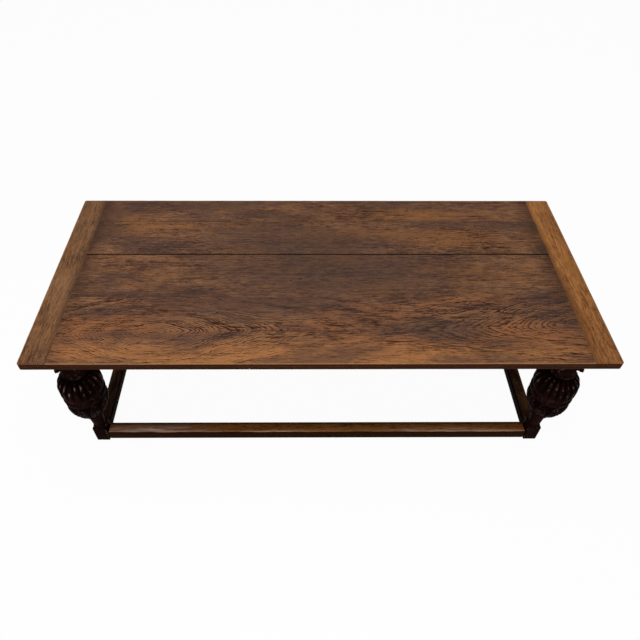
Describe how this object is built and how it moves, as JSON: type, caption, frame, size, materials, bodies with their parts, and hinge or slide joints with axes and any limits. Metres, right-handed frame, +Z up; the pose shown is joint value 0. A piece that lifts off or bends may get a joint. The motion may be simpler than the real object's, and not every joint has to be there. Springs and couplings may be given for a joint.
{
  "type": "draw-leaf table",
  "caption": "Oak refectory dining table with bulbous cup-and-cover legs, low box stretchers and leaves that draw out on bearers from under a loose top to lengthen it.",
  "frame": {"origin": "on the floor, under the middle of the closed table", "axes": "+X along the table's length, -Y towards the long side seen in the picture, +Z up"},
  "size_m": [2.286, 0.965, 0.762],
  "materials": {
    "oak_top": "waxed, worn",
    "oak_top_ends": "waxed, worn",
    "oak_leaves": "waxed",
    "oak_legs": "dark stained, polished",
    "oak_stretchers": "stained, worn",
    "oak_aprons": "dark stained, polished",
    "oak_bearers": "bare, planed",
    "oak_pegs": "stained",
    "steel_screws": "dull"
  },
  "bodies": {
    "base": {"apron_back": "oak_aprons", "apron_front": "oak_aprons", "apron_left": "oak_aprons", "apron_pegs": "oak_pegs", "apron_right": "oak_aprons", "centre_board_back": "oak_leaves", "centre_board_front": "oak_leaves", "centre_board_screws": "steel_screws", "centre_rail": "oak_bearers", "leg_back_left": "oak_legs", "leg_back_right": "oak_legs", "leg_front_left": "oak_legs", "leg_front_right": "oak_legs", "stretcher_back": "oak_stretchers", "stretcher_front": "oak_stretchers", "stretcher_left": "oak_stretchers", "stretcher_pegs": "oak_pegs", "stretcher_right": "oak_stretchers"},
    "left_leaf": {"left_leaf_back_bearer": "oak_bearers", "left_leaf_back_board": "oak_leaves", "left_leaf_end": "oak_leaves", "left_leaf_front_bearer": "oak_bearers", "left_leaf_front_board": "oak_leaves", "left_leaf_screws": "steel_screws", "left_leaf_stop_pegs": "oak_pegs"},
    "right_leaf": {"right_leaf_back_bearer": "oak_bearers", "right_leaf_back_board": "oak_leaves", "right_leaf_end": "oak_leaves", "right_leaf_front_bearer": "oak_bearers", "right_leaf_front_board": "oak_leaves", "right_leaf_screws": "steel_screws", "right_leaf_stop_pegs": "oak_pegs"},
    "top": {"locating_pegs": "oak_pegs", "top_back_board": "oak_top", "top_front_board": "oak_top", "top_inner_back_board": "oak_top", "top_inner_front_board": "oak_top", "top_left_end": "oak_top_ends", "top_right_end": "oak_top_ends"}
  },
  "joints": [
    {"name": "left_leaf_draw", "type": "slide", "parent": "base", "child": "left_leaf", "axis": [-1, 0, 0], "range_m": [0, 0.87]},
    {"name": "right_leaf_draw", "type": "slide", "parent": "base", "child": "right_leaf", "axis": [1, 0, 0], "range_m": [0, 0.87]},
    {"name": "top_lift", "type": "slide", "parent": "base", "child": "top", "axis": [0, 0, 1], "range_m": [0, 0.018]}
  ]
}
